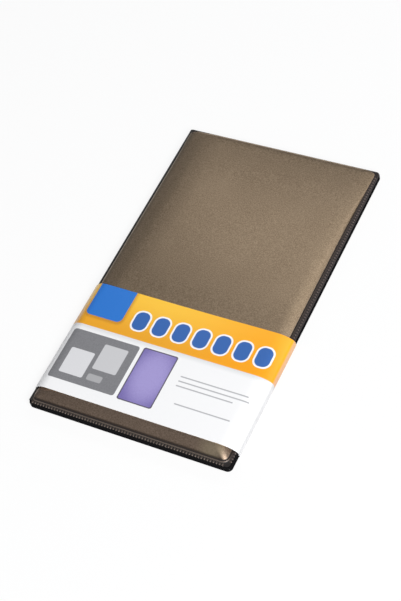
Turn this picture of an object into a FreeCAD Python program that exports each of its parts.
"""A guest check presenter: two padded vinyl covers, a folding spine and a paper band.

Millimetres. +X runs from the spine to the fore-edge, +Y from the bottom edge to the top
edge and +Z up. The folder lies closed on its back cover. The origin is under the middle
of the part, on the surface that it lies on.
"""
import FreeCAD, Part
import math
import os

from FreeCAD import Vector

# Folder, closed
folder_width = 150.0
folder_length = 250.0
fore_corner_radius = 3.4
spine_corner_radius = 3.0

# Sheets and padding of one cover
skin_thickness = 0.7
lining_thickness = 0.6
board_thickness = 1.6
foam_thickness = 3.0
pocket_thickness = 0.3

# Welded border, from the outer edge inwards
rim_width = 1.1
rim_rounding = 0.5
rim_steps = 3
rib_channel_width = 2.1
rib_channel_depth = 0.25
rib_pitch = 2.25
rib_width = 1.0
rib_end_gap = 0.15
ridge_width = 0.9
ridge_height = 0.35
ridge_slope_share = 0.3
ridge_gap = 0.3

# Crown of the padding
spine_margin = 2.6
roll_width = 10.0
spine_roll_width = 7.0
crown_corner_radius = 4.0
crown_spine_corner_radius = 2.2
roll_steps = 6
board_inset = 1.6

# Folds
fold_clearance = 0.15

# Paper band
paper_thickness = 0.25
band_low_edge = -112.5
band_high_edge = -24.5
band_gap = 0.2
flap_slack = 0.15
flap_length = 18.0
band_fore_roll = 13.2
band_fore_drop = 6.2
band_spine_roll = 10.15
band_turn_radius = 0.35

# Pockets
bill_pocket_mouth = 14.0
bill_thumb_radius = 11.0
card_pocket_width = 98.0
card_pocket_height = 64.0
card_thumb_radius = 9.0

# One overrun serves every cut
overrun = 5.0

# Levels of the closed folder, worked out from the sheets
crown_rise = board_thickness + foam_thickness
inside_gap = 2 * pocket_thickness + 2 * paper_thickness + 3 * flap_slack
crown_low = paper_thickness + band_gap
flange_low = crown_low + crown_rise
lower_axis = flange_low + skin_thickness
back_inner = lower_axis + lining_thickness
middle = back_inner + inside_gap / 2
front_inner = back_inner + inside_gap
upper_axis = front_inner + lining_thickness
flange_top = upper_axis + skin_thickness
crown_top = flange_top + crown_rise
band_top = crown_top + band_gap + paper_thickness

# Places across the folder
spine_face = -folder_width / 2
fore_face = folder_width / 2
half_length = folder_length / 2
fold_axis = spine_face + skin_thickness
cover_start = fold_axis + fold_clearance
lining_start = fold_axis + lining_thickness + fold_clearance
rim_inner = fore_face - rim_width
rim_low = front_inner - pocket_thickness
channel_inner = rim_inner - rib_channel_width
ridge_inner = channel_inner - ridge_width
crown_base = ridge_inner - ridge_gap
border_width = fore_face - crown_base
spine_half_length = half_length - spine_corner_radius
crown_start = spine_face + spine_margin


def rounded_wire(x0, x1, half_y, spine_radius, fore_radius, z):
    """A rectangle in plan with one radius at the spine corners and one at the others."""
    diagonal = math.sqrt(0.5)
    corners = [
        (x1, half_y, 1, 1, fore_radius),
        (x0, half_y, -1, 1, spine_radius),
        (x0, -half_y, -1, -1, spine_radius),
        (x1, -half_y, 1, -1, fore_radius),
    ]
    arcs = []
    for x, y, sx, sy, r in corners:
        centre = Vector(x - sx * r, y - sy * r, z)
        on_x = centre + Vector(sx * r, 0, 0)
        on_y = centre + Vector(0, sy * r, 0)
        between = centre + Vector(sx * r * diagonal, sy * r * diagonal, 0)
        ends = (on_x, on_y) if sx == sy else (on_y, on_x)
        arcs.append((ends[0], between, ends[1]))
    edges = []
    for index, (first, between, last) in enumerate(arcs):
        edges.append(Part.Arc(first, between, last).toShape())
        edges.append(Part.makeLine(last, arcs[(index + 1) % len(arcs)][0]))
    return Part.Wire(edges)


def rounded_plate(x0, x1, half_y, spine_radius, fore_radius, z0, z1):
    """A flat plate of that outline."""
    face = Part.Face(rounded_wire(x0, x1, half_y, spine_radius, fore_radius, z0))
    return face.extrude(Vector(0, 0, z1 - z0))


def block(x0, x1, y0, y1, z0, z1):
    """A box between two corners."""
    return Part.makeBox(x1 - x0, y1 - y0, z1 - z0, Vector(x0, y0, z0))


def extruded(points, y0, y1):
    """A closed outline in X and Z, run along Y. Each item is a point or (through, end)."""
    edges = []
    start = points[0]
    here = start
    for item in points[1:] + [start]:
        if isinstance(item[0], tuple):
            through, end = item
            edges.append(Part.Arc(Vector(here[0], y0, here[1]), Vector(through[0], y0, through[1]),
                                  Vector(end[0], y0, end[1])).toShape())
            here = end
        else:
            edges.append(Part.makeLine(Vector(here[0], y0, here[1]), Vector(item[0], y0, item[1])))
            here = item
    return Part.Face(Part.Wire(edges)).extrude(Vector(0, y1 - y0, 0))


def mirrored(shape):
    """The same piece on the back cover, which is the front cover turned over."""
    return shape.mirror(Vector(0, 0, middle), Vector(0, 0, 1))


def edge_wire(inset, z):
    """The plan of a cover inside its outer edge, with its four rounded corners."""
    return rounded_wire(cover_start + inset, fore_face - inset, half_length - inset,
                        spine_corner_radius - inset, fore_corner_radius - inset, z)


def edge_outline(inset, z0, z1):
    """A plate of that plan."""
    return Part.Face(edge_wire(inset, z0)).extrude(Vector(0, 0, z1 - z0))


def crown_solid(inset, base):
    """The padded crown: an elliptical roll that rises round a flat middle."""
    wires = []
    for step in range(roll_steps + 1):
        angle = math.pi / 2 * step / roll_steps
        share = 1 - math.cos(angle)
        height = base + crown_rise * math.sin(angle)
        wires.append(rounded_wire(
            crown_start + inset + spine_roll_width * share,
            crown_base - inset - roll_width * share,
            half_length - border_width - inset - roll_width * share,
            crown_spine_corner_radius, crown_corner_radius, height))
    return Part.makeLoft(wires, True, True)


def flange_sheet(x0, z0, z1):
    """A sheet of the cover that ends at the rim and, between the corners, near the fold."""
    sheet = edge_outline(rim_width, z0, z1)
    tab = block(x0, crown_start + roll_width, -spine_half_length, spine_half_length, z0, z1)
    sheet = sheet.common(block(x0, fore_face, -half_length, half_length, z0, z1))
    return sheet.fuse(tab).removeSplitter()


def spine_clearance(z0, z1):
    """What keeps the welded border off the side of the folds."""
    return block(spine_face - overrun, crown_start, -spine_half_length, spine_half_length,
                 z0 - overrun, z1 + overrun)


def rib_places(start, end):
    """Even places for the ribs along one side, centred on it."""
    count = int((end - start) / rib_pitch)
    first = (start + end - (count - 1) * rib_pitch) / 2
    return [first + rib_pitch * index for index in range(count)]


def wedge(x, y, along_x, along_y):
    """A pressed mark's cutter: a groove with sloping sides, run across the channel."""
    half = (rib_pitch - rib_width) / 2
    outline = [(-half, overrun), (-half, 0), (0, -rib_channel_depth), (half, 0), (half, overrun)]
    points = [Vector(x + along_y * u, y + along_x * u, flange_top + v) for u, v in outline]
    run = Vector(along_x, along_y, 0) * (rib_channel_width - 2 * rib_end_gap)
    return Part.Face(Part.makePolygon(points + points[:1])).extrude(run)


def rib_marks():
    """The pressed marks of the weld, across the channel, round three sides."""
    across = rim_inner - rib_end_gap
    along = half_length - rim_width - rib_end_gap
    marks = []
    for y in rib_places(-half_length + border_width, half_length - border_width):
        marks.append(wedge(across, y, -1, 0))
    for x in rib_places(crown_start, crown_base):
        marks.append(wedge(x, along, 0, -1))
        marks.append(wedge(x, -along, 0, 1))
    return Part.makeCompound(marks)


def border_line(inset, radius, z):
    """The plan of a line round the three welded sides, which runs on past the spine."""
    return rounded_wire(spine_face - overrun, fore_face - inset, half_length - inset,
                        crown_spine_corner_radius, radius, z)


def ridge_bead():
    """The raised line inside the ribs, with sloping sides, from the spine round to the spine."""
    outer = rim_width + rib_channel_width
    inner = outer + ridge_width
    inner_radius = crown_corner_radius + ridge_gap
    outer_radius = inner_radius + ridge_width
    slope = ridge_width * ridge_slope_share
    top = flange_top + ridge_height
    mound = Part.makeLoft([border_line(outer, outer_radius, flange_top),
                           border_line(outer + slope, outer_radius - slope, top)], True, True)
    hole = Part.makeLoft([border_line(inner, inner_radius, flange_top),
                          border_line(inner - slope, inner_radius + slope, top)], True, True)
    past_spine = block(spine_face - 2 * overrun, crown_start, -half_length, half_length,
                       flange_top - overrun, top + overrun)
    return mound.cut(hole).cut(past_spine)


def front_cover_skin():
    """The outer sheet: flange, ridge, pressed ribs and the crown over the padding."""
    flange = flange_sheet(cover_start, upper_axis, flange_top)
    shell = flange.fuse([crown_solid(0, flange_top), ridge_bead()])
    hollow = crown_solid(skin_thickness, upper_axis)
    return shell.cut(hollow).cut(rib_marks()).removeSplitter()


def front_foam_pad():
    """The foam fills the crown above the board."""
    slab = block(spine_face, fore_face, -half_length, half_length,
                 upper_axis + board_thickness, crown_top)
    return crown_solid(skin_thickness, upper_axis).common(slab)


def front_cover_board():
    """The stiff board under the foam."""
    inset = skin_thickness + board_inset
    return rounded_plate(crown_start + inset, crown_base - inset, half_length - border_width - inset,
                         crown_spine_corner_radius, crown_corner_radius,
                         upper_axis, upper_axis + board_thickness)


def front_lining():
    """The inner sheet, welded to the skin round the board."""
    return flange_sheet(lining_start, front_inner, upper_axis)


def front_edge_rim():
    """The dark welded edge, trimmed round, on three sides: as thick as all the sheets in it."""
    wires = [edge_wire(0, rim_low)]
    for step in range(rim_steps + 1):
        angle = math.pi / 2 * step / rim_steps
        inset = rim_rounding * (1 - math.cos(angle))
        wires.append(edge_wire(inset, flange_top - rim_rounding * (1 - math.sin(angle))))
    rolled = Part.makeLoft(wires, True, True)
    inside = edge_outline(rim_width, rim_low - overrun, flange_top + overrun)
    return rolled.cut(inside).cut(spine_clearance(rim_low, flange_top))


def notched_sheet(x0, x1, y0, y1, z0, notch):
    """A pocket sheet with a thumb notch in its mouth."""
    return block(x0, x1, y0, y1, z0, z0 + pocket_thickness).cut(notch)


def front_bill_pocket():
    """A full-height pocket for the bill, open towards the spine."""
    reach = half_length - rim_width
    mouth = spine_face + bill_pocket_mouth
    low = front_inner - pocket_thickness
    notch = Part.makeCylinder(bill_thumb_radius, pocket_thickness + 2 * overrun,
                              Vector(mouth, 0, low - overrun))
    return notched_sheet(mouth, rim_inner, -reach, reach, low, notch)


def back_card_pocket():
    """A clear pocket for the payment card, at the lower fore-edge corner."""
    right = rim_inner
    low = -half_length + rim_width
    mouth = low + card_pocket_height
    notch = Part.makeCylinder(card_thumb_radius, pocket_thickness + 2 * overrun,
                              Vector(right - card_pocket_width / 2, mouth, back_inner - overrun))
    return notched_sheet(right - card_pocket_width, right, low, mouth, back_inner, notch)


def spine_skin():
    """The strip of the outer sheet between the two folds."""
    return block(spine_face, fold_axis, -spine_half_length, spine_half_length,
                 lower_axis + fold_clearance, upper_axis - fold_clearance)


def spine_lining():
    """The strip of the inner sheet behind the spine skin."""
    return block(fold_axis, fold_axis + lining_thickness, -spine_half_length, spine_half_length,
                 lower_axis + fold_clearance, upper_axis - fold_clearance)


def fold_strip(inner, outer, y0, y1):
    """A quarter turn of sheet about the upper fold, with its two short straight ends."""
    diagonal = math.sqrt(0.5)
    x, z = fold_axis, upper_axis
    outline = [
        (x - outer, z - fold_clearance),
        (x - outer, z),
        ((x - outer * diagonal, z + outer * diagonal), (x, z + outer)),
        (x + fold_clearance, z + outer),
        (x + fold_clearance, z + inner),
        (x, z + inner),
    ]
    if inner > 0:
        outline.append(((x - inner * diagonal, z + inner * diagonal), (x - inner, z)))
    outline.append((x - inner, z - fold_clearance))
    return extruded(outline, y0, y1)


def upper_fold():
    """The bend of the outer sheet between the spine and the front cover."""
    return fold_strip(0, skin_thickness, -spine_half_length, spine_half_length)


def ellipse_arc(cx, cz, a, b, first, last, y):
    """Part of an ellipse in X and Z, as one edge, between two angles from +X to +Z."""
    long_x = a >= b
    along = Vector(1, 0, 0) if long_x else Vector(0, 0, 1)
    centre = Vector(cx, y, cz)
    major = centre + (Vector(a, 0, 0) if long_x else Vector(0, 0, b))
    minor = centre + (Vector(0, 0, b) if long_x else Vector(a, 0, 0))
    ellipse = Part.Ellipse(major, minor, centre)
    ends = [centre + Vector(a * math.cos(t), 0, b * math.sin(t)) for t in (first, last)]
    params = sorted(ellipse.parameter(point) for point in ends)
    if params[1] - params[0] > math.pi:
        params = [params[1], params[0] + 2 * math.pi]
    return Part.ArcOfEllipse(ellipse, params[0], params[1]).toShape()


def band_front_panel():
    """The printed panel over the front cover, bent round its fore-edge and turned in behind it."""
    y = band_low_edge
    t = paper_thickness
    fore_out = fore_face + band_gap + t
    wall_start = band_top - band_fore_drop
    fore_centre = fore_out - band_fore_roll - t
    spine_centre = cover_start + band_spine_roll
    spine_end = upper_axis + skin_thickness + band_gap
    spine_rise = band_top - spine_end
    flap_high = front_inner - pocket_thickness - flap_slack
    flap_low = flap_high - t
    flap_end = fore_out - flap_length
    turn = band_turn_radius
    turn_out = turn + t
    quarter = math.pi / 2

    def at(x, z):
        return Vector(x, y, z)

    def corner(radius):
        centre_x = fore_out - turn_out
        centre_z = flap_low + turn_out
        diagonal = radius * math.sqrt(0.5)
        return Part.Arc(at(centre_x + radius, centre_z), at(centre_x + diagonal, centre_z - diagonal),
                        at(centre_x, centre_z - radius)).toShape()

    edges = [
        ellipse_arc(spine_centre, spine_end, band_spine_roll, spine_rise, quarter, 2 * quarter, y),
        Part.makeLine(at(spine_centre, band_top), at(fore_centre, band_top)),
        ellipse_arc(fore_centre, wall_start, band_fore_roll + t, band_fore_drop, 0, quarter, y),
        Part.makeLine(at(fore_out, wall_start), at(fore_out, flap_low + turn_out)),
        corner(turn_out),
        Part.makeLine(at(fore_out - turn_out, flap_low), at(flap_end, flap_low)),
        Part.makeLine(at(flap_end, flap_low), at(flap_end, flap_high)),
        Part.makeLine(at(flap_end, flap_high), at(fore_out - turn_out, flap_high)),
        corner(turn),
        Part.makeLine(at(fore_out - t, flap_low + turn_out), at(fore_out - t, wall_start)),
        ellipse_arc(fore_centre, wall_start, band_fore_roll, band_fore_drop - t, 0, quarter, y),
        Part.makeLine(at(fore_centre, band_top - t), at(spine_centre, band_top - t)),
        ellipse_arc(spine_centre, spine_end, band_spine_roll - t, spine_rise - t,
                    quarter, 2 * quarter, y),
        Part.makeLine(at(cover_start + t, spine_end), at(cover_start, spine_end)),
    ]
    wire = Part.Wire(Part.__sortEdges__(edges))
    return Part.Face(wire).extrude(Vector(0, band_high_edge - band_low_edge, 0))


def band_spine_panel():
    """The strip of the band that lies on the spine."""
    outer = spine_face - band_gap - paper_thickness
    return block(outer, outer + paper_thickness, band_low_edge, band_high_edge,
                 lower_axis + fold_clearance, upper_axis - fold_clearance)


def band_upper_crease():
    """The scored crease between the band's spine panel and its front panel."""
    inner = skin_thickness + band_gap
    return fold_strip(inner, inner + paper_thickness, band_low_edge, band_high_edge)


def main():
    """Writes every piece to its own file."""
    front = {
        "cover_skin": front_cover_skin(),
        "foam_pad": front_foam_pad(),
        "cover_board": front_cover_board(),
        "lining": front_lining(),
        "edge_rim": front_edge_rim(),
    }
    pieces = {}
    for name, shape in front.items():
        pieces["front_" + name] = shape
        pieces["back_" + name] = mirrored(shape)
    pieces["front_bill_pocket"] = front_bill_pocket()
    pieces["back_card_pocket"] = back_card_pocket()
    pieces["spine_skin"] = spine_skin()
    pieces["spine_lining"] = spine_lining()
    pieces["upper_fold"] = upper_fold()
    pieces["lower_fold"] = mirrored(pieces["upper_fold"])
    pieces["band_front_panel"] = band_front_panel()
    pieces["band_back_panel"] = mirrored(pieces["band_front_panel"])
    pieces["band_spine_panel"] = band_spine_panel()
    pieces["band_upper_crease"] = band_upper_crease()
    pieces["band_lower_crease"] = mirrored(pieces["band_upper_crease"])
    os.makedirs("parts", exist_ok=True)
    for name, shape in pieces.items():
        shape.exportStep("parts/" + name + ".step")
        box = shape.BoundBox
        print(name, len(shape.Solids), "solid, valid", shape.isValid(), "volume %.1f" % shape.Volume,
              "z %.2f to %.2f" % (box.ZMin, box.ZMax))


main()
